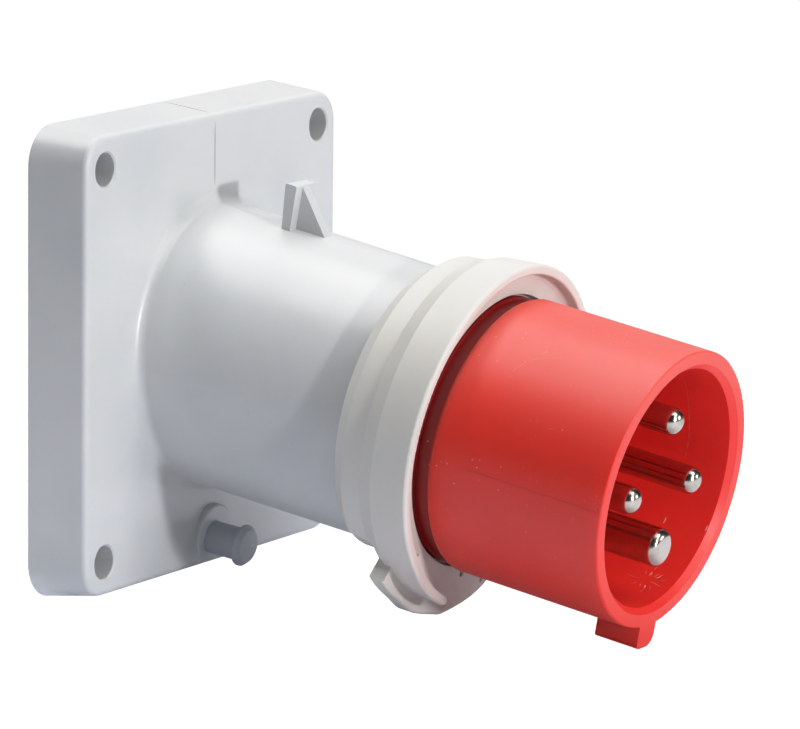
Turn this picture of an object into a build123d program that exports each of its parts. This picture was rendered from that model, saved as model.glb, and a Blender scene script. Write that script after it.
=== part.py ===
from build123d import *
import math
import os

# Angled pin and sleeve inlet, 16 A, three phases and earth.
# The origin is the centre of the flange's rear face, which lies against the panel.
# +Z is up and the sleeve points along -Y, tilted down. All sizes are in millimetres.

# Flange
mount_spacing = 70.0
mount_inset = 7.25
mount_hole_diameter = 6.0
mount_hole_chamfer = 0.3
mount_boss_wall = 2.5
flange_thickness = 11.45
flange_corner_radius = 7.0
flange_draft = 1.35
flange_edge_radius = 1.2
flange_wall = 3.2
flange_plate = 3.6
flange_seal_width = 1.6
flange_seal_depth = 1.3
rib_thickness = 2.0
rib_setback = 1.0

# Red shroud, whose sleeve sets the size of what it fits into
shroud_diameter = 50.0
shroud_wall = 3.4
shroud_draft = 0.3
shroud_length = 34.8
rim_wall = 2.4
rim_chamfer = 1.1
rim_edge_radius = 0.35
groove_depth = 1.4
groove_width = 2.8
shoulder_radius = 1.3
collar_overlap = 0.9
collar_width = 1.2
spigot_length = 12.8
spigot_fit = 0.05
spigot_wall = 4.25
pin_floor_thickness = 13.0
block_recess = 2.0
key_width = 5.6
key_height = 3.9
key_length = 8.5
key_corner_radius = 2.4
key_edge_radius = 0.9

# Neck, whose axis meets the flange's front face just under its centre
neck_tilt = 10.0
neck_axis_height = -0.4
neck_step = 0.2
neck_draft = 0.4
neck_end = 68.8
neck_root_radius = 2.0
neck_wall = 3.3
neck_rear_relief = 0.5
neck_inner_draft = 0.1
journal_step = 1.4
journal_length = 8.5
ledge_depth = 3.9
ledge_thickness = 3.0

# Catch lug on top of the neck
lug_station = 25.45
lug_width = 6.4
lug_height = 8.3
lug_plate_thickness = 2.35
lug_lean = 0.7
lug_edge_radius = 0.3
lug_web_thickness = 2.2
lug_web_length = 6.25

# Strap boss and stud, tilted down less than the neck
strap_x = -0.9
strap_inset = 6.1
strap_tilt = 7.0
strap_boss_radius = 5.5
strap_boss_height = 0.75
strap_boss_offset = 0.45
strap_boss_edge = 0.4
stud_radius = 3.0
stud_fit = 0.05
stud_shaft_length = 6.1
stud_head_radius = 3.8
stud_head_thickness = 1.7
stud_head_taper = 0.8
stud_head_dome = 0.2
stud_barb_step = 0.5
stud_barb_length = 2.2
stud_barb_clearance = 0.3
stud_barb_sink = 0.3
stud_play = 0.1
stud_crown_edge = 0.35
stud_under_edge = 0.2

# Contacts
phase_pin_radius = 2.5
earth_pin_radius = 3.5
top_pin_inset = 5.7
side_pin_inset = 6.85
side_pin_drop = 0.65
earth_pin_inset = 6.9
phase_tip_recess = 0.45
earth_tip_rise = 0.6
phase_tip_radius = 2.1
earth_tip_radius = 1.7
pin_seat_step = 0.35
pin_boss_wall = 2.2
pin_boss_height = 1.2

# Terminals and their block
terminal_length = 19.0
terminal_wall = 1.3
phase_terminal_step = 1.1
earth_terminal_step = 0.7
wire_hole_depth = 14.0
block_clearance = 0.7
block_rear_wall = 2.0
terminal_rim = 0.9
block_edge_radius = 0.6

# Clamp screws and wire guards
clamp_screw_inset = 5.5
phase_screw_radius = 1.75
earth_screw_radius = 2.0
clamp_screw_gap = 1.4
clamp_screw_rise = 1.2
clamp_screw_clearance = 0.4
screw_slot_width = 0.8
screw_slot_depth = 0.8
guard_offset = 1.15
guard_thickness = 0.5
guard_width = 2.6
guard_length = 9.0

# Screws along the neck axis
block_screw_radius = 1.5
block_screw_head_radius = 2.7
block_screw_head_height = 2.0
block_screw_reach = 7.0
insert_screw_radius = 1.2
insert_screw_head_radius = 2.1
insert_screw_head_height = 1.7
insert_screw_reach = 5.0
insert_screw_angles = (45.0, 135.0, 270.0)
screw_clearance = 0.3
screw_hole_spare = 1.0

# Ring seal between insert and neck
seal_station = 7.0
seal_groove_width = 2.4
seal_groove_depth = 1.4
seal_side_gap = 0.2
seal_edge_radius = 0.45

# Bayonet ring
ring_fit = 0.07
ring_clearance = 0.35
ring_end_gap = 0.3
ring_length = 17.8
ring_rear_wall = 0.85
ring_band_rise = 2.8
ring_front_rise = 2.1
ring_cone_length = 2.8
ring_cone_drop = 0.5
ring_band_length = 7.0
ring_step_length = 10.0
ring_taper = 0.8
ring_lip_wall = 1.9
ring_recess_depth = 2.5
ring_floor_rise = 1.3
ring_floor_gap = 0.6
ring_front_edge = 0.6
ring_recess_edge = 0.4
ring_corner_edge = 0.9
ring_turn = 40.0
lip_gap_first = -109.3
lip_gap_last = -72.0
lip_swing = 6.8
lip_swing_rise = 0.9
lip_swing_angle = -108.0
lip_swing_first = -140.0

# Thumb wing of the ring, with even steps along its border as rises over the ring's front edge
wing_first = -131.0
wing_last = -73.0
wing_rises = (2.65, 2.7, 2.95, 3.8, 3.05, 2.2, 1.6, 0.7)
wing_setback = 8.6
wing_rib_thickness = 3.0
wing_ramp_angle = -110.0
wing_ramp_radius = 7.5
wing_root_radius = 3.0
wing_root_inset = 1.7
wing_root_x = 3.7
wing_root_y = -5.6
wing_front_edge = 1.3
wing_rib_edge = 0.5
cut_out_first = -138.0
cut_out_last = -66.0
cut_out_depth = 0.1
notch_angle = -92.0
notch_depth = 1.5
notch_radius = 0.75
dimple_angle = -77.3
dimple_inset = 1.2
dimple_radius = 0.5

# Stop pin, which ends the ring's turn
stop_pin_radius = 1.25
stop_pin_rise = 1.1
stop_pin_depth = 2.0
stop_pin_setback = 2.2
stop_pocket_gap = 0.4
stop_angle_gap = 0.7

# Working values
tilt = math.radians(neck_tilt)
flange_size = mount_spacing + 2 * mount_inset
strap_z = strap_inset - flange_size / 2
shroud_radius = shroud_diameter / 2
sleeve_bore_radius = shroud_radius - shroud_wall
groove_radius = shroud_radius - groove_depth
neck_radius = shroud_radius - neck_step
journal_radius = neck_radius - journal_step
bore_radius = neck_radius - neck_wall
spigot_radius = bore_radius - spigot_fit
ledge_radius = bore_radius - ledge_depth
spigot_inner_radius = spigot_radius - spigot_wall
collar_radius = journal_radius + collar_overlap
journal_start = neck_end - journal_length
spigot_start = neck_end - spigot_length
ledge_start = spigot_start - ledge_thickness
shoulder_station = neck_end + collar_width + groove_width
rim_station = shoulder_station + shroud_length
block_seat = spigot_start + block_recess
floor_station = block_seat + pin_floor_thickness
terminal_seat = block_seat + block_recess
terminal_start = terminal_seat - terminal_length
block_rear = terminal_start - block_rear_wall
screw_station = terminal_start + clamp_screw_inset
ring_clear_radius = neck_radius + ring_clearance
ring_rear_radius = ring_clear_radius + ring_rear_wall
ring_band_radius = ring_rear_radius + ring_band_rise
ring_front_radius = ring_band_radius + ring_front_rise
ring_recess_radius = ring_front_radius - ring_lip_wall
ring_floor_radius = collar_radius + ring_floor_gap
ring_floor_station = neck_end + ring_floor_rise
ring_front_station = ring_floor_station + ring_recess_depth
ring_rear_station = ring_front_station - ring_length
wing_station = ring_rear_station + wing_setback
wing_root_circle = ring_front_radius - wing_root_inset
stop_pin_station = journal_start - stop_pin_setback

neck_start = Vector(0, 0, neck_axis_height + flange_thickness * math.tan(tilt))
neck_direction = Vector(0, -math.cos(tilt), -math.sin(tilt))
neck_frame = Plane(origin=neck_start, x_dir=(1, 0, 0), z_dir=neck_direction)

strap_angle = math.radians(strap_tilt)
strap_start = Vector(strap_x, -(flange_thickness + strap_boss_height), strap_z)
strap_direction = Vector(0, -math.cos(strap_angle), -math.sin(strap_angle))
strap_frame = Plane(origin=strap_start, x_dir=(1, 0, 0), z_dir=strap_direction)


def polar(radius, degrees):
    """Point across the neck axis, counted from +X towards the lug."""
    return (radius * math.cos(math.radians(degrees)), radius * math.sin(math.radians(degrees)))


def turned(*outline):
    """Solid turned about the neck axis from radius and station pairs."""
    return revolve(Plane.XZ * make_face(Polyline(*outline, close=True)), Axis.Z)


def disc(radius, start, end, x=0.0, y=0.0):
    """Cylinder along the neck axis between two stations."""
    return Pos(x, y, start) * Cylinder(radius, end - start, align=(Align.CENTER, Align.CENTER, Align.MIN))


def sector(radius, inner_radius, first, last, start, end):
    """Piece of a tube between two angles in degrees and two stations."""
    middle = (first + last) / 2
    reach = 2 * radius
    wedge = Polyline((0, 0), polar(reach, first), polar(reach, middle), polar(reach, last), close=True)
    face = make_face(wedge) & (Circle(radius) - Circle(inner_radius))
    return Pos(0, 0, start) * extrude(face, end - start)


def radial_cylinder(radius, inner, outer, angle, station, x=0.0, y=0.0):
    """Cylinder that points away from the neck axis at an angle."""
    rod = Cylinder(radius, outer - inner, align=(Align.CENTER, Align.CENTER, Align.MIN))
    return Pos(x, y, station) * Rot(0, 0, angle) * Rot(0, 90, 0) * Pos(0, 0, inner) * rod


def round_edges(solid, edge_radius, radius, station):
    """Rounds the circle of one radius at one station."""
    def is_picked(edge):
        return abs(edge.radius - radius) < 0.01 and abs(edge.arc_center.Z - station) < 0.01
    circles = [edge for edge in solid.edges().filter_by(GeomType.CIRCLE) if is_picked(edge)]
    return fillet(circles, edge_radius)


def axis_distance(edge):
    """Distance of an edge's middle from the neck axis."""
    middle = edge.position_at(0.5)
    return math.hypot(middle.X, middle.Y)


def contacts():
    """Name, place, pin radius, tip station, tip rounding, terminal radius and angle of each contact."""
    phase_tip = rim_station - phase_tip_recess
    earth_tip = rim_station + earth_tip_rise
    phase_terminal = phase_pin_radius + phase_terminal_step
    earth_terminal = earth_pin_radius + earth_terminal_step
    side = ledge_radius - side_pin_inset
    top = ledge_radius - top_pin_inset
    bottom = ledge_radius - earth_pin_inset
    phase = (phase_pin_radius, phase_tip, phase_tip_radius, phase_terminal)
    earth = (earth_pin_radius, earth_tip, earth_tip_radius, earth_terminal)
    return [
        ("l1", -side, -side_pin_drop, *phase, 180.0),
        ("l2", 0.0, top, *phase, 90.0),
        ("l3", side, -side_pin_drop, *phase, 0.0),
        ("earth", 0.0, -bottom, *earth, 270.0),
    ]


def flange():
    """Square flange, hollow at the rear, with four screw bosses and ribs to the neck."""
    taper = math.degrees(math.atan(flange_draft / flange_thickness))
    outline = Plane.XZ * RectangleRounded(flange_size, flange_size, flange_corner_radius)
    body = extrude(outline, flange_thickness, taper=taper)
    front_face = body.faces().sort_by(Axis.Y)[0]
    body = fillet(front_face.edges(), flange_edge_radius)
    inner_size = flange_size - 2 * flange_wall
    cavity = Plane.XZ * RectangleRounded(inner_size, inner_size, flange_corner_radius - flange_wall)
    body -= extrude(cavity, flange_thickness - flange_plate)
    boss_radius = mount_hole_diameter / 2 + mount_boss_wall
    rib_depth = flange_thickness - rib_setback
    for x, z in corner_places():
        body += extrude(Plane.XZ * Pos(x, z) * Circle(boss_radius), rib_depth)
    for angle in (0, 90):
        rib = Plane.XZ * Rot(0, 0, angle) * Rectangle(flange_size - flange_wall, rib_thickness)
        body += extrude(rib, rib_depth)
    return drill_mounts(body)


def corner_places():
    """Places of the four mounting holes on the flange's rear plane."""
    half = mount_spacing / 2
    return [(x * half, z * half) for x in (-1, 1) for z in (-1, 1)]


def drill_mounts(body):
    """Cuts the four screw holes and breaks their front edges lightly."""
    radius = mount_hole_diameter / 2
    for x, z in corner_places():
        body -= extrude(Plane.XZ * Pos(x, z) * Circle(radius), flange_thickness + 1)

    def is_mouth(edge):
        at_front = abs(edge.arc_center.Y + flange_thickness) < 0.01
        return at_front and abs(edge.radius - radius) < 0.01
    mouths = [edge for edge in body.edges().filter_by(GeomType.CIRCLE) if is_mouth(edge)]
    return chamfer(mouths, mount_hole_chamfer)


def neck_outside():
    """Outer form of the neck, a slender cone from the flange to the ring's journal."""
    return turned(
        (0, -5),
        (neck_radius + neck_draft, -5),
        (neck_radius + neck_draft, flange_thickness / 2),
        (neck_radius, journal_start),
        (journal_radius, journal_start),
        (journal_radius, neck_end),
        (0, neck_end),
    )


def neck_inside():
    """Wiring space, ledge opening and spigot seat inside the neck."""
    rear_radius = bore_radius + neck_rear_relief
    return turned(
        (0, -6),
        (rear_radius, -6),
        (rear_radius - neck_inner_draft, ledge_start),
        (ledge_radius, ledge_start),
        (ledge_radius, spigot_start),
        (bore_radius, spigot_start),
        (bore_radius, neck_end + 1),
        (0, neck_end + 1),
    )


def catch_lug():
    """Plate across the neck, leaning at its back, with one web that slopes down in front."""
    top = neck_radius + lug_height
    root = neck_radius - 1
    side = Plane(origin=(0, 0, 0), x_dir=(0, 0, 1), z_dir=(-1, 0, 0))
    plate = Polyline(
        (lug_station, root),
        (lug_station, top),
        (lug_station - lug_plate_thickness, top),
        (lug_station - lug_plate_thickness + lug_lean, root),
        close=True,
    )
    lug = extrude(side * make_face(plate), lug_width / 2, both=True)
    lug = fillet(lug.edges().filter_by(Axis.X).group_by(Axis.Y)[-1], lug_edge_radius)
    web = Polyline(
        (lug_station - lug_edge_radius, root),
        (lug_station - lug_edge_radius, top),
        (lug_station, top - lug_edge_radius),
        (lug_station + lug_web_length, neck_radius),
        (lug_station + lug_web_length, root),
        close=True,
    )
    return lug + extrude(side * make_face(web), lug_web_thickness / 2, both=True)


def insert_screw_places():
    """Places of the three screws that hold the insert, with their heads at the neck's bore."""
    return [polar(bore_radius - insert_screw_head_radius, angle) for angle in insert_screw_angles]


def strap_boss():
    """Low round boss that faces along the stud and ends at the flange's lower side."""
    boss = disc(strap_boss_radius, -flange_plate / 2, 0)
    boss = round_edges(boss, strap_boss_edge, strap_boss_radius, 0)
    boss = strap_frame.location * Pos(strap_boss_offset, strap_boss_offset, 0) * boss
    flat_half = flange_size / 2 - flange_draft - flange_edge_radius
    waste = Box(flange_size, flange_size, flange_size, align=(Align.CENTER, Align.CENTER, Align.MAX))
    return boss - Pos(0, 0, -flat_half) * waste


def strap_opening():
    """Hole for the stud's shaft and the wider room for its barb behind the plate."""
    plate_rear = -(strap_boss_height + flange_plate)
    behind = plate_rear - flange_thickness
    opening = disc(stud_radius + stud_fit, behind, 1)
    wide = stud_radius + stud_barb_step + stud_barb_clearance
    opening += disc(wide, behind, plate_rear + stud_barb_sink + stud_play)
    return strap_frame.location * opening


def housing():
    """One moulding of flange, neck, catch lug and strap boss."""
    behind = Pos(0, flange_size, 0) * Box(2 * flange_size, 2 * flange_size, 2 * flange_size)
    neck = neck_frame.location * neck_outside() - behind
    body = flange() + neck

    def is_root(edge):
        at_front = abs(edge.position_at(0.5).Y + flange_thickness) < 0.01
        return at_front and edge.length > 4 * neck_radius
    body = fillet([edge for edge in body.edges() if is_root(edge)], neck_root_radius)
    body += strap_boss()
    body += neck_frame.location * catch_lug()
    body -= neck_frame.location * neck_inside()
    body -= strap_opening()
    for x, y in insert_screw_places():
        hole = disc(insert_screw_radius + screw_clearance, ledge_start - 1, spigot_start + 1, x, y)
        body -= neck_frame.location * hole
    body -= seal_ring()
    body -= neck_frame.location * stop_pin_form()
    return body


def seal_ring():
    """Square ring round the flange's rear rim, as groove and as seal."""
    middle = flange_size - flange_wall
    radius = flange_corner_radius - flange_wall / 2
    half_width = flange_seal_width / 2
    outer_size = middle + flange_seal_width
    inner_size = middle - flange_seal_width
    outer = RectangleRounded(outer_size, outer_size, radius + half_width)
    inner = RectangleRounded(inner_size, inner_size, radius - half_width)
    return extrude(Plane.XZ * (outer - inner), flange_seal_depth)


def strap_stud():
    """Mushroom button with a thin domed head and a rear barb that holds it in the plate."""
    barb = stud_radius + stud_barb_step
    seat = stud_barb_sink - (strap_boss_height + flange_plate)
    front = stud_shaft_length + stud_head_thickness
    outline = Polyline(
        (0, seat - stud_barb_length),
        (stud_radius - stud_barb_step, seat - stud_barb_length),
        (barb, seat - stud_barb_length / 3),
        (barb, seat),
        (stud_radius, seat),
        (stud_radius, stud_shaft_length),
        (stud_head_radius, stud_shaft_length),
        (stud_head_radius, stud_shaft_length + stud_head_thickness / 3),
        (stud_head_radius - stud_head_taper, front - stud_head_dome),
        (0, front),
        close=True,
    )
    stud = revolve(Plane.XZ * make_face(outline), Axis.Z)
    stud = round_edges(stud, stud_crown_edge, stud_head_radius - stud_head_taper, front - stud_head_dome)
    stud = round_edges(stud, stud_under_edge, stud_head_radius, stud_shaft_length)
    return strap_frame.location * stud


def stop_pin_form():
    """Pressed pin that stands out of the neck inside the ring's pocket."""
    inner = neck_radius - stop_pin_depth
    return radial_cylinder(stop_pin_radius, inner, neck_radius + stop_pin_rise, 90, stop_pin_station)


def bayonet_ring():
    """Turning ring with a front recess, a rear cut-out, a pocket for the stop pin and a wing."""
    flange_rear = journal_start + ring_end_gap
    flange_front = neck_end - ring_end_gap
    bearing = journal_radius + ring_fit
    ring = turned(
        (ring_clear_radius, ring_rear_station),
        (ring_rear_radius, ring_rear_station),
        (ring_band_radius - ring_cone_drop, ring_rear_station + ring_cone_length),
        (ring_band_radius, ring_rear_station + ring_band_length),
        (ring_front_radius - ring_taper, ring_rear_station + ring_step_length),
        (ring_front_radius, ring_front_station),
        (ring_recess_radius, ring_front_station),
        (ring_recess_radius, ring_floor_station),
        (ring_floor_radius, ring_floor_station),
        (ring_floor_radius, flange_front),
        (bearing, flange_front),
        (bearing, flange_rear),
        (ring_clear_radius, flange_rear),
    )
    ring = round_edges(ring, ring_front_edge, ring_front_radius, ring_front_station)
    ring = round_edges(ring, ring_recess_edge, ring_recess_radius, ring_front_station)
    ring = round_edges(ring, ring_corner_edge, ring_recess_radius, ring_floor_station)
    ring -= rear_cut_out()
    ring += lip_end()
    x, y = polar(lip_swing, lip_swing_angle)
    ring -= disc(lip_end_radius() - ring_lip_wall, ring_floor_station, ring_front_station + 1, x, y)
    ring += thumb_wing()
    ring -= lip_gap()
    ring -= stop_pocket()
    ring -= bore_notch()
    x, y = polar(ring_front_radius - dimple_inset, dimple_angle)
    return ring - disc(dimple_radius, ring_floor_station - 1, ring_floor_station + 1, x, y)


def rear_cut_out():
    """Room behind the wing, where the ring's rear band is left away."""
    start = ring_rear_station - 1
    reach = ring_front_radius + 10
    inner = ring_rear_radius - cut_out_depth
    return sector(reach, inner, cut_out_first, cut_out_last, start, wing_station)


def lip_end_radius():
    """Outer radius of the lip's last stretch about its own, shifted centre."""
    return ring_front_radius + lip_swing_rise - lip_swing


def lip_end():
    """Last stretch of the lip, which swings outwards over the thumb wing."""
    radius = lip_end_radius()
    start = ring_rear_station + ring_step_length
    top = ring_front_station
    body = turned((0, start), (radius - ring_taper, start), (radius, top), (0, top))
    body = round_edges(body, ring_front_edge, radius, top)
    x, y = polar(lip_swing, lip_swing_angle)
    inner = ring_recess_radius - ring_corner_edge
    last = lip_gap_first + 3
    reach = ring_front_radius + 5
    return Pos(x, y, 0) * body & sector(reach, inner, lip_swing_first, last, start, top)


def lip_gap():
    """Stretch where the recess floor is open to the outside, from the lip's rounded end."""
    reach = ring_front_radius + 5
    inner = ring_recess_radius - ring_corner_edge
    end = ring_front_station + 1
    gap = sector(reach, inner, lip_gap_first, lip_gap_last, ring_floor_station, end)
    x, y = polar(ring_front_radius + lip_swing_rise - ring_lip_wall / 2, lip_gap_first)
    return gap - disc(ring_lip_wall / 2, ring_floor_station, end, x, y)


def bore_notch():
    """Small round-ended notch from the ring's bore into the recess floor."""
    length = 2 * (notch_depth + notch_radius)
    profile = Rot(0, 0, notch_angle) * Pos(ring_floor_radius, 0) * SlotOverall(length, 2 * notch_radius)
    return Pos(0, 0, ring_floor_station - 1) * extrude(profile, 2)


def stop_pocket():
    """Arc inside the ring that lets it turn between its two ends on the stop pin."""
    middle_radius = neck_radius + stop_pin_rise
    half_angle = math.degrees(stop_pin_radius / middle_radius) + stop_angle_gap
    start = stop_pin_station - stop_pin_radius - stop_pocket_gap
    end = journal_start + ring_end_gap
    outer = middle_radius + stop_pocket_gap
    return sector(outer, neck_radius - 1, 90 - half_angle, 90 + ring_turn + half_angle, start, end)


def thumb_wing():
    """Curved thumb rib whose front ramps up into a foot that carries the recess floor outwards."""
    step = (wing_last - wing_first) / (len(wing_rises) - 1)
    outer = [
        polar(ring_front_radius + rise, wing_first + place * step)
        for place, rise in enumerate(wing_rises)
    ]
    first_root = polar(ring_rear_radius, wing_first)
    last_root = polar(ring_rear_radius, wing_last)
    middle_root = polar(ring_rear_radius, (wing_first + wing_last) / 2)
    border = [
        Line(first_root, outer[0]),
        Spline(*outer),
        Line(outer[-1], last_root),
        ThreePointArc(last_root, middle_root, first_root),
    ]
    wing = Pos(0, 0, wing_station) * extrude(make_face(border), ring_floor_station - wing_station)
    wing = fillet(outer_edges(wing, ring_floor_station), wing_front_edge)
    wing -= thumb_room()
    wing = fillet(outer_edges(wing, wing_station + wing_rib_thickness), wing_rib_edge)
    return fillet(outer_edges(wing, wing_station), wing_rib_edge)


def thumb_room():
    """Room in front of the rib, with a hollow root that swings out from the ring and a ramp."""
    rib_front = wing_station + wing_rib_thickness
    top = ring_floor_station + 1
    reach = ring_front_radius + 10
    inner = wing_root_circle - wing_root_radius
    bend = wing_root_radius * math.sqrt(0.5)
    section = [
        Polyline((wing_root_circle, rib_front), (reach, rib_front), (reach, top), (inner, top)),
        Line((inner, top), (inner, rib_front + wing_root_radius)),
        ThreePointArc(
            (inner, rib_front + wing_root_radius),
            (wing_root_circle - bend, rib_front + wing_root_radius - bend),
            (wing_root_circle, rib_front),
        ),
    ]
    room = Pos(wing_root_x, wing_root_y, 0) * revolve(Plane.XZ * make_face(section), Axis.Z)
    ramp = radial_cylinder(wing_ramp_radius, 0, reach, wing_ramp_angle, rib_front + wing_ramp_radius)
    flat = sector(reach, ring_rear_radius / 2, cut_out_first, wing_ramp_angle, rib_front, top)
    return room & (flat + ramp)


def outer_edges(wing, station):
    """Edges of the wing's outer border at one station."""
    def is_picked(edge):
        ends = (edge.position_at(0), edge.position_at(0.5), edge.position_at(1))
        flat = all(abs(point.Z - station) < 0.01 for point in ends)
        along = edge.length > 2 * wing_rib_edge and axis_distance(edge) > ring_front_radius + 2
        return flat and along and edge.geom_type != GeomType.LINE
    return [edge for edge in wing.edges() if is_picked(edge)]


def shroud():
    """Red insert of sleeve, groove band, retaining collar, pin floor, spigot and key."""
    groove_start = spigot_start + seal_station
    groove_end = groove_start + seal_groove_width
    insert = turned(
        (spigot_inner_radius, spigot_start),
        (spigot_radius, spigot_start),
        (spigot_radius, groove_start),
        (spigot_radius - seal_groove_depth, groove_start),
        (spigot_radius - seal_groove_depth, groove_end),
        (spigot_radius, groove_end),
        (spigot_radius, neck_end),
        (collar_radius, neck_end),
        (collar_radius, neck_end + collar_width),
        (groove_radius, neck_end + collar_width),
        (groove_radius, shoulder_station),
        (shroud_radius, shoulder_station),
        (shroud_radius, rim_station),
        (shroud_radius - rim_wall, rim_station),
        (sleeve_bore_radius, rim_station - rim_chamfer),
        (sleeve_bore_radius - shroud_draft, floor_station),
        (0, floor_station),
        (0, block_seat),
        (spigot_inner_radius, block_seat),
    )
    insert = round_edges(insert, shoulder_radius, shroud_radius, shoulder_station)
    insert = round_edges(insert, rim_edge_radius, shroud_radius, rim_station)
    insert += shroud_key()
    boss_top = floor_station + pin_boss_height
    for name, x, y, pin_radius, tip, tip_radius, terminal_radius, angle in contacts():
        insert += disc(pin_radius + pin_boss_wall, floor_station - 1, boss_top, x, y)
    for name, x, y, pin_radius, tip, tip_radius, terminal_radius, angle in contacts():
        insert -= disc(pin_radius + pin_seat_step, block_seat - 1, boss_top + 1, x, y)
        insert -= disc(terminal_radius, block_seat - 1, terminal_seat, x, y)
    hole_end = spigot_start + insert_screw_reach + screw_hole_spare
    for x, y in insert_screw_places():
        insert -= disc(insert_screw_radius, spigot_start - 1, hole_end, x, y)
    hole_end = block_seat + block_screw_reach + screw_hole_spare
    return insert - disc(block_screw_radius, block_seat - 1, hole_end)


def shroud_key():
    """Key along the bottom of the sleeve, flush with the rim."""
    half = key_width / 2
    root = -(shroud_radius - 1)
    tip = -(shroud_radius + key_height)
    profile = make_face(Polyline((-half, root), (half, root), (half, tip), (-half, tip), close=True))
    profile = fillet(profile.vertices().group_by(Axis.Y)[0].sort_by(Axis.X)[-1], key_corner_radius)
    profile = fillet(profile.vertices().group_by(Axis.Y)[0].sort_by(Axis.X)[0], key_edge_radius)
    return Pos(0, 0, rim_station - key_length) * extrude(profile, key_length)


def neck_seal():
    """Ring seal pressed between the insert's groove and the neck's seat."""
    start = spigot_start + seal_station + seal_side_gap
    end = start + seal_groove_width - 2 * seal_side_gap
    inner = spigot_radius - seal_groove_depth
    seal = turned((inner, start), (bore_radius, start), (bore_radius, end), (inner, end))
    return fillet(seal.edges(), seal_edge_radius)


def pin(x, y, pin_radius, tip, tip_radius, terminal_radius, angle):
    """Turned contact with a rounded tip and a tubular terminal at its rear."""
    start = terminal_seat - 1
    shaft = round_edges(disc(pin_radius, start, tip), tip_radius, pin_radius, tip)
    body = Pos(x, y, 0) * shaft
    body += disc(pin_radius + pin_seat_step, start, floor_station + pin_boss_height, x, y)
    body += disc(terminal_radius, terminal_start, terminal_seat, x, y)
    hole_radius = terminal_radius - terminal_wall
    body -= disc(hole_radius, terminal_start - 1, terminal_start + wire_hole_depth, x, y)
    thread = screw_radius(pin_radius)
    return body - radial_cylinder(thread, 0, terminal_radius + 1, angle, screw_station, x, y)


def screw_radius(pin_radius):
    """Thread radius of a clamp screw, larger on the earth contact."""
    return earth_screw_radius if pin_radius == earth_pin_radius else phase_screw_radius


def clamp_screw(x, y, pin_radius, terminal_radius, angle):
    """Headless slotted screw that presses the wire guard."""
    radius = screw_radius(pin_radius)
    top = terminal_radius + clamp_screw_rise
    screw = radial_cylinder(radius, clamp_screw_gap, top, angle, screw_station, x, y)
    slot = Box(2 * screw_slot_depth, screw_slot_width, 3 * radius)
    return screw - Pos(x, y, screw_station) * Rot(0, 0, angle) * Pos(top, 0, 0) * slot


def wire_guard(x, y, angle):
    """Thin leaf between the clamp screw and the wire."""
    leaf = Box(guard_thickness, guard_width, guard_length)
    return Pos(x, y, screw_station) * Rot(0, 0, angle) * Pos(guard_offset, 0, 0) * leaf


def terminal_block():
    """Insulating body with four terminal chambers and screw openings."""
    radius = ledge_radius - block_clearance
    block = disc(radius, block_rear, block_seat)
    block = round_edges(block, block_edge_radius, radius, block_rear)
    for name, x, y, pin_radius, tip, tip_radius, terminal_radius, angle in contacts():
        opening = screw_radius(pin_radius) + clamp_screw_clearance
        block -= disc(terminal_radius, terminal_start, block_seat + 1, x, y)
        block -= disc(terminal_radius - terminal_rim, block_rear - 1, terminal_start + 1, x, y)
        block -= radial_cylinder(opening, 0, radius, angle, screw_station, x, y)
    block -= disc(block_screw_radius, block_rear - 1, block_seat + 1)
    return block - disc(block_screw_head_radius + screw_clearance, block_rear - 1, block_screw_seat())


def block_screw_seat():
    """Station at which the block screw's head bears, just sunk into the block's rear."""
    return block_rear + block_screw_head_height + screw_hole_spare


def block_screw():
    """Cheese head screw on the axis of the terminal block."""
    head_seat = block_screw_seat()
    top = head_seat - block_screw_head_height
    screw = disc(block_screw_radius, head_seat, block_seat + block_screw_reach)
    screw += disc(block_screw_head_radius, top, head_seat)
    slot = Box(3 * block_screw_head_radius, screw_slot_width, 2 * screw_slot_depth)
    return screw - Pos(0, 0, top) * slot


def insert_screws():
    """Three pan head screws, shown as separate solids."""
    top = ledge_start - insert_screw_head_height
    slot = Box(3 * insert_screw_head_radius, screw_slot_width, 2 * screw_slot_depth)
    screws = []
    for x, y in insert_screw_places():
        screw = disc(insert_screw_radius, ledge_start, spigot_start + insert_screw_reach, x, y)
        screw += disc(insert_screw_head_radius, top, ledge_start, x, y)
        screws.append(screw - Pos(x, y, top) * slot)
    return Compound(children=screws)


def build_parts():
    """All sub-parts by node name, in the shared frame."""
    place = neck_frame.location
    parts = {
        "housing": housing(),
        "flange_seal": seal_ring(),
        "strap_stud": strap_stud(),
        "bayonet_ring": place * bayonet_ring(),
        "ring_stop_pin": place * stop_pin_form(),
        "shroud": place * shroud(),
        "neck_seal": place * neck_seal(),
        "terminal_block": place * terminal_block(),
        "block_screw": place * block_screw(),
        "insert_screws": place * insert_screws(),
    }
    phase_screws = []
    for name, x, y, pin_radius, tip, tip_radius, terminal_radius, angle in contacts():
        parts[name + "_pin"] = place * pin(x, y, pin_radius, tip, tip_radius, terminal_radius, angle)
        parts[name + "_wire_guard"] = place * wire_guard(x, y, angle)
        screw = place * clamp_screw(x, y, pin_radius, terminal_radius, angle)
        if name == "earth":
            parts["earth_terminal_screw"] = screw
        else:
            phase_screws.append(screw)
    parts["phase_terminal_screws"] = Compound(children=phase_screws)
    return parts


os.makedirs("parts", exist_ok=True)
for node, shape in build_parts().items():
    export_step(shape, f"parts/{node}.step")
    print(node, round(shape.volume, 1))
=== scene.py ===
import bmesh
import bpy
import math
from mathutils import Matrix, Vector


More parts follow.
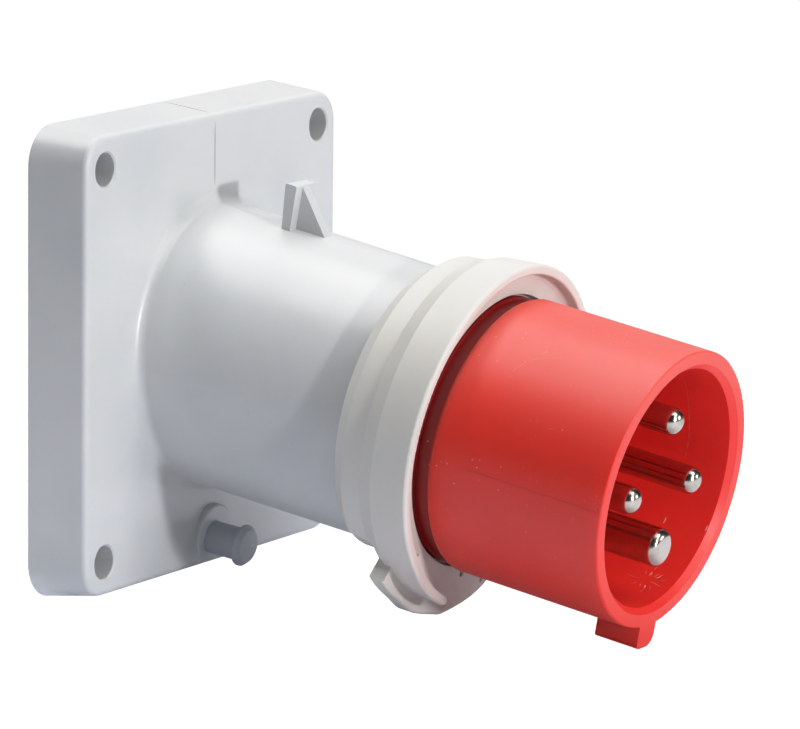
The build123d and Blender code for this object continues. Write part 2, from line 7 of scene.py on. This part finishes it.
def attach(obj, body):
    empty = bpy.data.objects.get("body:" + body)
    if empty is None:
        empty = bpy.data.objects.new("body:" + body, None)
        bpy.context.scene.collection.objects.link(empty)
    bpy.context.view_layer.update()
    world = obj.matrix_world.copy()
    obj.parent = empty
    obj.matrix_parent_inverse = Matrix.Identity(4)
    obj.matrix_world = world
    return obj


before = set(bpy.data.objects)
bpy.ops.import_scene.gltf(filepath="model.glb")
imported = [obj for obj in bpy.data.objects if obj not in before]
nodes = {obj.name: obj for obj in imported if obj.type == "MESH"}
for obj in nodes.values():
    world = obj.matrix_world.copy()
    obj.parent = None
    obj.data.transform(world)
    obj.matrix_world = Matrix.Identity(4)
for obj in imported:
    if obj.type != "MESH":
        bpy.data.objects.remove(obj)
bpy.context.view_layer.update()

# Surfaces that the fine marks lie on, in millimetres
FLANGE_THICKNESS = 11.45
FLANGE_HALF_HEIGHT = 42.25
FLANGE_DRAFT = 1.35
FLANGE_TOP_NORMAL = Vector((0, -0.117, 0.993))
NECK_RADIUS = 25.2
NECK_CONE_START = 5.7
NECK_CONE_LENGTH = 54.6
NECK_TAPER = 0.4
SLEEVE_RADIUS = 25.0
BORE_RADIUS = 21.6
BORE_END = 106.5
BORE_LENGTH = 35.5
BORE_DRAFT = 0.3

# The neck's own frame in metres: x across, up away from the axis, station forward along the axis.
# The axis leaves the flange's front plane a little below its middle
TILT = math.radians(10.0)
AXIS_AT_FLANGE_FRONT = -0.0004
AXIS_START = Vector((0, 0, AXIS_AT_FLANGE_FRONT + FLANGE_THICKNESS / 1000 * math.tan(TILT)))
FORWARD = Vector((0, -math.cos(TILT), -math.sin(TILT)))
UP = Vector((0, -math.sin(TILT), math.cos(TILT)))

# Where one look of the red insert turns into the next, in metres: radii, stations and heights
WALL_SPAN = (0.0222, 0.0228)
# Station where the painted shade of the groove behind the ring ends
GROOVE_SHADE_END_SPAN = (0.0722, 0.0727)
# Station from which the bore is coloured brighter, as painted light
PAINTED_BORE_LIGHT_START_SPAN = (0.066, 0.069)
# Heights over which the painted sheen on top of the sleeve comes in
PAINTED_SHEEN_SPAN = (0.004, 0.024)


def linear(red, green, blue):
    """Scene colour of an sRGB colour given from 0 to 255."""
    def channel(value):
        value = value / 255
        return value / 12.92 if value <= 0.04045 else ((value + 0.055) / 1.055) ** 2.4
    return (channel(red), channel(green), channel(blue), 1.0)


def neck_point(x, up, station):
    """Point of the row frame from millimetres in the neck's frame."""
    return AXIS_START + Vector((x / 1000, 0, 0)) + UP * (up / 1000) + FORWARD * (station / 1000)


class Finish:
    """Builds one procedural material, node by node."""

    def __init__(self, name):
        self.material = bpy.data.materials.new(name)
        self.material.use_nodes = True
        self.tree = self.material.node_tree
        self.tree.nodes.clear()
        self.output = self.tree.nodes.new("ShaderNodeOutputMaterial")
        self.shader = self.tree.nodes.new("ShaderNodeBsdfPrincipled")
        self.tree.links.new(self.shader.outputs[0], self.output.inputs["Surface"])
        self.place = self.tree.nodes.new("ShaderNodeTexCoord").outputs["Object"]
        self.height = None

    def feed(self, socket, value):
        """Links an output to a socket, or sets the socket's own value."""
        if isinstance(value, bpy.types.NodeSocket):
            self.tree.links.new(value, socket)
        elif value is not None:
            socket.default_value = value

    def set(self, **values):
        """Sets shader inputs, with underscores for the spaces of their names."""
        for name, value in values.items():
            self.feed(self.shader.inputs[name.replace("_", " ")], value)

    def math(self, operation, a, b=None):
        """Result of one arithmetic step."""
        node = self.tree.nodes.new("ShaderNodeMath")
        node.operation = operation
        self.feed(node.inputs[0], a)
        self.feed(node.inputs[1], b)
        return node.outputs[0]

    def times(self, *values):
        """Product of all the values."""
        product = values[0]
        for value in values[1:]:
            product = self.math("MULTIPLY", product, value)
        return product

    def span(self, value, low, high, to_low=0.0, to_high=1.0):
        """Smooth step from one value to another."""
        node = self.tree.nodes.new("ShaderNodeMapRange")
        node.interpolation_type = "SMOOTHSTEP"
        self.feed(node.inputs["Value"], value)
        node.inputs["From Min"].default_value = low
        node.inputs["From Max"].default_value = high
        node.inputs["To Min"].default_value = to_low
        node.inputs["To Max"].default_value = to_high
        return node.outputs[0]

    def mix(self, a, b, factor):
        """Colour between two colours."""
        node = self.tree.nodes.new("ShaderNodeMix")
        node.data_type = "RGBA"
        self.feed(node.inputs[6], a)
        self.feed(node.inputs[7], b)
        self.feed(node.inputs["Factor"], factor)
        return node.outputs[2]

    def scaled(self, x, y, z):
        """The shaded point with its axes stretched."""
        node = self.tree.nodes.new("ShaderNodeMapping")
        self.feed(node.inputs["Vector"], self.place)
        node.inputs["Scale"].default_value = (x, y, z)
        return node.outputs[0]

    def noise(self, scale, detail=2.0, roughness=0.5, place=None):
        """Cloudy noise, with the given number of clouds in a metre."""
        node = self.tree.nodes.new("ShaderNodeTexNoise")
        self.feed(node.inputs["Vector"], place or self.place)
        node.inputs["Scale"].default_value = scale
        node.inputs["Detail"].default_value = detail
        node.inputs["Roughness"].default_value = roughness
        return node.outputs["Fac"]

    def specks(self, scale, size, share):
        """Small round specks, on a share of the cells of a random lattice."""
        node = self.tree.nodes.new("ShaderNodeTexVoronoi")
        self.feed(node.inputs["Vector"], self.place)
        node.inputs["Scale"].default_value = scale
        apart = self.tree.nodes.new("ShaderNodeSeparateColor")
        self.feed(apart.inputs[0], node.outputs["Color"])
        picked = self.math("LESS_THAN", apart.outputs[0], share)
        return self.times(picked, self.span(node.outputs["Distance"], size * 0.6, size, 1.0, 0.0))

    def dot(self, direction):
        """Coordinate of the shaded point along a direction, in metres."""
        node = self.tree.nodes.new("ShaderNodeVectorMath")
        node.operation = "DOT_PRODUCT"
        self.feed(node.inputs[0], self.place)
        node.inputs[1].default_value = direction
        return node.outputs["Value"]

    def distance_from(self, point):
        """Distance of the shaded point from a fixed one, in metres."""
        node = self.tree.nodes.new("ShaderNodeVectorMath")
        node.operation = "DISTANCE"
        self.feed(node.inputs[0], self.place)
        node.inputs[1].default_value = point
        return node.outputs["Value"]

    def neck_place(self):
        """Up, station and radius of the shaded point in the neck's frame."""
        across = self.dot((1, 0, 0))
        up = self.math("SUBTRACT", self.dot(UP), AXIS_START.dot(UP))
        station = self.math("SUBTRACT", self.dot(FORWARD), AXIS_START.dot(FORWARD))
        radius = self.math("SQRT", self.math("ADD", self.times(across, across), self.times(up, up)))
        return up, station, radius

    def raise_by(self, value, metres):
        """Adds a bump layer on top of the ones before it."""
        node = self.tree.nodes.new("ShaderNodeBump")
        node.inputs["Strength"].default_value = 1.0
        node.inputs["Distance"].default_value = metres
        self.feed(node.inputs["Height"], value)
        if self.height is not None:
            self.tree.links.new(self.height, node.inputs["Normal"])
        self.height = node.outputs["Normal"]
        self.tree.links.new(self.height, self.shader.inputs["Normal"])

    def glow_to_camera(self, colour, share):
        """Lets the camera see mostly a bright sheet, while other rays meet the lit surface."""
        glow = self.tree.nodes.new("ShaderNodeEmission")
        glow.inputs["Color"].default_value = colour
        blend = self.tree.nodes.new("ShaderNodeMixShader")
        path = self.tree.nodes.new("ShaderNodeLightPath")
        self.feed(blend.inputs[0], self.times(path.outputs["Is Camera Ray"], share))
        self.tree.links.new(self.shader.outputs[0], blend.inputs[1])
        self.tree.links.new(glow.outputs[0], blend.inputs[2])
        self.tree.links.new(blend.outputs[0], self.output.inputs["Surface"])


def moulded(name, colour, shade, rough, grain, grain_scale, dust_colour=linear(176, 170, 160)):
    """Moulded plastic: cloudy tone, fine grain, flow waves, dust specks and uneven gloss."""
    finish = Finish(name)
    cloud = finish.noise(38, 3.0)
    fleck = finish.noise(900, 2.0)
    tone = finish.mix(colour, shade, finish.span(cloud, 0.35, 0.68))
    dust = finish.span(finish.noise(1600, 1.0), 0.735, 0.80)
    dust = finish.times(dust, finish.span(finish.noise(55), 0.45, 0.65), 0.35)
    finish.set(Base_Color=finish.mix(tone, dust_colour, dust))
    cloud_gloss = finish.span(cloud, 0.3, 0.7, -0.03, 0.04)
    fleck_gloss = finish.span(fleck, 0.3, 0.7, -0.02, 0.02)
    finish.set(Roughness=finish.math("ADD", finish.math("ADD", cloud_gloss, fleck_gloss), rough))
    finish.raise_by(finish.noise(260, 1.0), 0.000012)
    finish.raise_by(finish.noise(grain_scale, 2.0, 0.6), grain)
    return finish


def grey_housing():
    """Glossy light grey of the flange and the neck."""
    finish = moulded("housing_moulding", linear(213, 214, 214), linear(206, 208, 209), 0.33, 0.000006, 2600)
    finish.set(Specular_IOR_Level=0.6, Subsurface_Weight=0.06, Subsurface_Scale=0.0012)
    return finish.material


def grey_ring():
    """Satin warm grey of the bayonet ring."""
    finish = moulded("ring_moulding", linear(228, 226, 220), linear(222, 220, 214), 0.46, 0.000012, 3000)
    finish.set(Specular_IOR_Level=0.5, Subsurface_Weight=0.06, Subsurface_Scale=0.0012)
    return finish.material


def red_insert():
    """Slightly translucent red with painted light: a painted sheen lightens the top, painted shade darkens the
    groove behind the ring, and the bore is coloured brighter and plain as painted light.
    """
    finish = moulded(
        "signal_red_moulding", linear(234, 54, 40), linear(228, 49, 36), 0.42, 0.000004, 2800,
        linear(240, 128, 112),
    )
    moulding = finish.shader.inputs["Base Color"].links[0].from_socket
    up, station, radius = finish.neck_place()
    outside = finish.span(radius, *WALL_SPAN)
    inside = finish.span(radius, *WALL_SPAN, 1.0, 0.0)
    # Painted sheen: the top of the sleeve is lightened towards pale salmon, a painted highlight wash from the
    # lamps above
    painted_top_sheen = finish.times(finish.span(up, *PAINTED_SHEEN_SPAN, 0.0, 0.22), outside)
    # Painted shade: the groove behind the ring is darkened to a deep red, standing in for the shade under the
    # ring's lip
    groove_shade = finish.times(finish.span(station, *GROOVE_SHADE_END_SPAN, 1.0, 0.0), outside)
    # Painted light: the bore is coloured a brighter red than the outside, standing in for the light inside the
    # sleeve
    bore = finish.times(finish.span(station, *PAINTED_BORE_LIGHT_START_SPAN), inside)
    painted_bore_light = finish.mix(linear(251, 61, 53), linear(246, 55, 48), finish.noise(60))
    plain = finish.mix(moulding, linear(247, 150, 132), painted_top_sheen)
    plain = finish.mix(plain, linear(150, 26, 26), groove_shade)
    plain = finish.mix(plain, painted_bore_light, bore)
    marked = finish.span(finish.noise(70), 0.42, 0.62, 0.15, 0.75)
    marks = finish.times(finish.specks(800, 0.15, 0.2), marked, outside)
    finish.set(Base_Color=finish.mix(plain, linear(246, 150, 134), marks))
    finish.set(Specular_IOR_Level=0.6, Subsurface_Weight=0.35, Subsurface_Scale=0.0032)
    finish.set(Subsurface_Radius=(1.0, 0.22, 0.12))
    return finish.material


def plated(name, colour, rough, turning_scale):
    """Plated metal with turning lines round its axis and faint rubbing along it."""
    finish = Finish(name)
    up, station, radius = finish.neck_place()
    line = finish.tree.nodes.new("ShaderNodeCombineXYZ")
    finish.feed(line.inputs[2], finish.times(station, turning_scale))
    turning = finish.noise(1.0, 3.0, 0.6, line.outputs[0])
    wear = finish.noise(420, 3.0)
    rub = finish.noise(300, 2.0, 0.5, finish.scaled(6.0, 0.35, 3.0))
    worn = tuple(0.82 * channel for channel in colour[:3]) + (1.0,)
    finish.set(Base_Color=finish.mix(colour, worn, finish.span(wear, 0.42, 0.72)), Metallic=1.0)
    wear_gloss = finish.span(wear, 0.3, 0.7, -0.03, 0.06)
    rub_gloss = finish.span(rub, 0.4, 0.7, 0.0, 0.05)
    finish.set(Roughness=finish.math("ADD", finish.math("ADD", wear_gloss, rub_gloss), rough))
    finish.raise_by(turning, 0.000004)
    finish.raise_by(rub, 0.000003)
    return finish.material


def plain_moulding(name, colour, shade, rough, grain, grain_scale):
    """Material of a moulding that needs nothing more."""
    return moulded(name, colour, shade, rough, grain, grain_scale).material


MATERIALS = {
    "housing": grey_housing(),
    "ring": grey_ring(),
    "stud": plain_moulding("stud_moulding", linear(188, 191, 199), linear(180, 183, 191), 0.42, 0.00001, 2600),
    "red": red_insert(),
    "block": plain_moulding("block_moulding", linear(92, 94, 98), linear(82, 84, 88), 0.5, 0.000014, 2200),
    "rubber": plain_moulding("seal_rubber", linear(46, 46, 48), linear(38, 38, 40), 0.68, 0.00002, 1800),
    # Pale red of the sleeve's scratches, and of the painted sheen line in the bore
    "scratch_and_sheen_red": plain_moulding(
        "scratch_and_sheen_red", linear(240, 128, 112), linear(236, 112, 96), 0.45, 0.000006, 2600,
    ),
    # Pale pink of the bore's rubs, and of the small nicks where it is a painted highlight
    "rub_and_glint_red": plain_moulding(
        "rub_and_glint_red", linear(250, 196, 186), linear(246, 180, 170), 0.25, 0.000006, 2600,
    ),
    # Darker grey of the flange's parting line: painted shade, standing in for the shaded groove of the seam
    "parting_line_shade": plain_moulding(
        "parting_line_painted_shade", linear(150, 152, 156), linear(140, 142, 147), 0.5, 0.000006, 2600,
    ),
    "nickel": plated("nickel_plating", linear(206, 200, 190), 0.16, 9000),
    "steel": plated("zinc_plated_steel", linear(186, 188, 192), 0.3, 4000),
}

# Material of each node; screws, wire guards and the stop pin are steel
WEARS = {
    "housing": "housing",
    "bayonet_ring": "ring",
    "strap_stud": "stud",
    "shroud": "red",
    "terminal_block": "block",
    "flange_seal": "rubber",
    "neck_seal": "rubber",
    "l1_pin": "nickel",
    "l2_pin": "nickel",
    "l3_pin": "nickel",
    "earth_pin": "nickel",
}

for name, node in nodes.items():
    material = MATERIALS[WEARS.get(name, "steel")]
    for slot in node.material_slots:
        slot.material = material


# Fine marks of moulding and handling, as low ridges that lie on the solids' own surfaces; some of them carry
# painted shade, painted highlights or a painted sheen.
# This share of a ridge's section is left at its two ends
END_SLIMNESS = 0.35


def ridge_section(width, height):
    """Across and rise of a low ridge's border, whose foot is sunk by its height into the surface."""
    half, crest = width / 2, width / 5
    return [(-half, -height), (-half, 0), (-crest, height), (crest, height), (half, 0), (half, -height)]


def add_ridge(mesh, stations, width, height):
    """Adds one closed ridge through (point, normal) stations, in metres, thinning out at its ends."""
    section = ridge_section(width, height)
    rings = []
    last = len(stations) - 1
    for number, (point, normal) in enumerate(stations):
        before, after = stations[max(number - 1, 0)][0], stations[min(number + 1, last)][0]
        across = (after - before).cross(normal).normalized()
        slim = END_SLIMNESS if number in (0, last) else 1.0
        rings.append([
            mesh.verts.new(point + across * (side * slim) + normal * (rise * slim)) for side, rise in section
        ])
    for one, two in zip(rings, rings[1:]):
        for corner in range(len(section)):
            following = (corner + 1) % len(section)
            mesh.faces.new((one[corner], one[following], two[following], two[corner]))
    mesh.faces.new(rings[0][::-1])
    mesh.faces.new(rings[-1])


def mark_piece(name, paths, width, height, material, body="inlet"):
    """One piece of several ridges that ride on a body."""
    mesh = bmesh.new()
    for stations in paths:
        add_ridge(mesh, stations, width, height)
    bmesh.ops.recalc_face_normals(mesh, faces=mesh.faces)
    data = bpy.data.meshes.new(name)
    mesh.to_mesh(data)
    mesh.free()
    piece = bpy.data.objects.new(name, data)
    bpy.context.scene.collection.objects.link(piece)
    data.materials.append(MATERIALS[material])
    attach(piece, body)


def on_cylinder(radius, degrees, station):
    """Point and normal of a cylinder about the neck axis, from millimetres and degrees."""
    angle = math.radians(degrees)
    point = neck_point(radius * math.cos(angle), radius * math.sin(angle), station)
    return point, Vector((math.cos(angle), 0, 0)) + UP * math.sin(angle)


def along(first, last, count, place):
    """Stations of a line whose place is a function of one value that runs from first to last."""
    return [place(first + (last - first) * step / count) for step in range(count + 1)]


def flange_top(depth):
    """Place on the flange's drafted top edge, in the middle plane, at a depth behind its front."""
    ahead = FLANGE_THICKNESS - depth
    height = FLANGE_HALF_HEIGHT - FLANGE_DRAFT * ahead / FLANGE_THICKNESS
    return Vector((0, -ahead / 1000, height / 1000)), FLANGE_TOP_NORMAL


def flange_front(height):
    """Place on the flange's front face, in the middle plane."""
    return Vector((0, -FLANGE_THICKNESS / 1000, height / 1000)), Vector((0, -1, 0))


def neck_top(station):
    """Place along the top of the neck's slender cone."""
    taper = NECK_TAPER * (station - NECK_CONE_START) / NECK_CONE_LENGTH
    return on_cylinder(NECK_RADIUS - taper, 90, station)


def sleeve_side(station):
    """Place along the left side of the sleeve."""
    return on_cylinder(SLEEVE_RADIUS, 180, station)


def sleeve_bore(degrees, station):
    """Place on the sleeve's drafted bore, with its normal towards the axis."""
    draft = BORE_DRAFT * (BORE_END - station) / BORE_LENGTH
    point, normal = on_cylinder(BORE_RADIUS - draft, degrees, station)
    return point, -normal


def sleeve_path(*places):
    """Ridge stations on the sleeve's outside from angles and stations."""
    return [on_cylinder(SLEEVE_RADIUS, degrees, station) for degrees, station in places]


def bore_path(*places):
    """Ridge stations on the sleeve's bore from angles and stations."""
    return [sleeve_bore(degrees, station) for degrees, station in places]


def rubbed_fan():
    """Fine rubs in the bore below the earth pin, spread out from one spot.

    Sines of the count vary the strokes, so that they are the same in each run.
    """
    strokes = 22
    middle_angle, middle_station = -67.0, 101.6
    degrees_per_millimetre = 2.65
    paths = []
    for count in range(strokes):
        turn = 2 * math.pi * count / strokes + 0.3 * math.sin(7.3 * count)
        start, length = 0.9 + 0.5 * math.sin(3.1 * count), 1.6 + 1.3 * abs(math.sin(2.3 * count))
        bend = 0.25 * math.sin(5.7 * count)
        places = []
        for share in (0, 0.5, 1):
            reach, angle = start + length * share, turn + bend * share
            places.append((
                middle_angle + reach * math.cos(angle) * degrees_per_millimetre,
                middle_station + reach * math.sin(angle),
            ))
        paths.append(bore_path(*places))
    return paths


def bore_sheen_line():
    """Long, slightly wavy line round the upper right of the bore: a painted sheen, a pale ridge standing in
    for a reflection.
    """
    return bore_path(*((48 - 5 * step, 98.3 + 0.1 * math.sin(step)) for step in range(11)))


# The flange's parting line ridge carries the painted shade of its seam groove
mark_piece(
    "parting_line",
    [along(11.0, 1.3, 6, flange_top), along(39.4, 28.0, 6, flange_front)],
    width=0.00022, height=0.00004, material="parting_line_shade",
)
mark_piece(
    "neck_parting_line",
    [along(9.8, 23.2, 8, neck_top)],
    width=0.00016, height=0.00003, material="housing",
)
mark_piece(
    "sleeve_witness_line",
    [along(79.0, 107.2, 8, sleeve_side)],
    width=0.00014, height=0.00002, material="red",
)
# Pale hairlines: scratches on the outside of the sleeve, and a painted sheen line in the bore
mark_piece(
    "sleeve_hairlines",
    [
        sleeve_path((139.5, 82.5), (135.7, 82.6), (132.0, 83.4), (128.1, 84.8), (124.3, 88.2), (119.8, 92.7)),
        sleeve_path((151.6, 90.8), (152.6, 91.0), (153.5, 91.2)),
        sleeve_path((154.7, 93.4), (154.2, 94.0), (153.8, 94.7)),
        sleeve_path((121.6, 86.7), (120.4, 87.0), (119.2, 87.2)),
        sleeve_path((136.8, 99.4), (137.3, 99.9), (137.9, 100.4)),
        bore_sheen_line(),
    ],
    width=0.00011, height=0.00001, material="scratch_and_sheen_red",
)
mark_piece(
    "sleeve_bore_rubs",
    rubbed_fan(),
    width=0.00010, height=0.00001, material="rub_and_glint_red",
)
# Pale nicks in the bore: painted highlights, glints of the lamps on the bore
mark_piece(
    "sleeve_bore_painted_glints",
    [
        bore_path((-30.4, 98.1), (-32.2, 98.2), (-34.0, 98.1)),
        bore_path((-28.2, 106.2), (-29.8, 106.2), (-31.2, 106.1)),
    ],
    width=0.0003, height=0.00004, material="rub_and_glint_red",
)


# Camera at the photograph's place: a long lens, a little above and to the left of the sleeve
CAMERA_PLACE = (-0.93561, -0.61725, 0.1959)
CAMERA_AXES = Matrix((
    (0.519609, 0.145641, -0.8419),
    (-0.854337, 0.100928, -0.509825),
    (0.01072, 0.984176, 0.176869),
))
camera_data = bpy.data.cameras.new("camera")
camera_data.lens = 282.62
camera_data.sensor_width = 36.0
camera_data.clip_start = 0.05
camera_data.clip_end = 50.0
camera = bpy.data.objects.new("camera", camera_data)
bpy.context.scene.collection.objects.link(camera)
camera.matrix_world = Matrix.Translation(CAMERA_PLACE) @ CAMERA_AXES.to_4x4()
bpy.context.scene.camera = camera


# Soft boxes around the object, all at one distance from its middle
LIGHT_TARGET = Vector((0, -0.045, -0.005))
LIGHT_DISTANCE = 2.0


def area_light(name, direction, width, height, watts):
    """White soft box that faces the object from a direction."""
    data = bpy.data.lights.new(name, "AREA")
    data.shape = "RECTANGLE"
    data.size = width
    data.size_y = height
    data.energy = watts
    light = bpy.data.objects.new(name, data)
    away = Vector(direction).normalized()
    light.location = LIGHT_TARGET + away * LIGHT_DISTANCE
    light.rotation_euler = away.to_track_quat("Z", "Y").to_euler()
    bpy.context.scene.collection.objects.link(light)


def toward(left, above):
    """Direction from the object to a light, in degrees to the left of the front and above the level."""
    turn, rise = math.radians(left), math.radians(above)
    return (-math.sin(turn) * math.cos(rise), -math.cos(turn) * math.cos(rise), math.sin(rise))


area_light("front_low_lamp", toward(14, 8.5), 0.1, 0.1, 14.0)
area_light("front_box", toward(10, 25), 0.6, 0.6, 3.0)
area_light("front_right_box", toward(-30, 10), 0.6, 0.6, 5.0)
area_light("front_high_box", toward(-5, 45), 0.8, 0.8, 6.0)
area_light("front_top_box", toward(15, 62), 1.0, 1.0, 3.0)
area_light("top_strip", (-0.05, 0, 1), 0.8, 2.0, 17.0)
area_light("rear_top_strip", (0.1, 0.34, 0.93), 1.9, 0.45, 14.0)
area_light("top_rear_box", (0.6, 0.35, 0.72), 1.8, 1.4, 5.0)
area_light("rear_wall_box", (0.84, 0.51, 0.4), 2.8, 1.2, 7.0)

# Very weak, slightly cool light from all round
world = bpy.data.worlds.new("studio")
bpy.context.scene.world = world
world.use_nodes = True
background = world.node_tree.nodes["Background"]
background.inputs["Color"].default_value = (0.93, 0.95, 1.0, 1.0)
background.inputs["Strength"].default_value = 0.03


# Pale floor: bright paper to the camera, faintly cool near the object and dim far from it to other rays
FLOOR_LEVEL = -0.0465
FLOOR_REACH = 6
FLOOR_TINT = (0.88, 0.91, 1.0, 1.0)
FLOOR_SHADE = (0.86, 0.89, 0.98, 1.0)
FLOOR_FAR = (0.14, 0.14, 0.16, 1.0)
FLOOR_MIDDLE = (0.0, -0.12, 0.0)
FLOOR_DIM_SPAN = (0.19, 0.45)
FLOOR_SHEET = (1.08, 1.08, 1.08, 1.0)
FLOOR_SHEET_SHARE = 0.93
corners = [(-1, -1), (1, -1), (1, 1), (-1, 1)]
floor_mesh = bpy.data.meshes.new("floor")
floor_mesh.from_pydata([(x * FLOOR_REACH, y * FLOOR_REACH, 0) for x, y in corners], [], [(0, 1, 2, 3)])
floor = bpy.data.objects.new("floor", floor_mesh)
floor.location = (0, 0, FLOOR_LEVEL)
bpy.context.scene.collection.objects.link(floor)
floor_finish = Finish("pale_floor")
paper = floor_finish.mix(FLOOR_TINT, FLOOR_SHADE, floor_finish.noise(3))
far = floor_finish.span(floor_finish.distance_from(FLOOR_MIDDLE), *FLOOR_DIM_SPAN)
floor_finish.set(Base_Color=floor_finish.mix(paper, FLOOR_FAR, far), Roughness=0.7)
floor_finish.glow_to_camera(FLOOR_SHEET, FLOOR_SHEET_SHARE)
floor_mesh.materials.append(floor_finish.material)


# Studio contrast of the picture: a gentle curve over plain colour handling
TONE_CURVE = ((0.2, 0.19), (0.33, 0.305), (0.5, 0.5), (0.62, 0.665), (0.72, 0.785), (0.8, 0.855))
view = bpy.context.scene.view_settings
view.view_transform = "Standard"
view.use_curve_mapping = True
for level, shown in TONE_CURVE:
    view.curve_mapping.curves[3].points.new(level, shown)
view.curve_mapping.update()
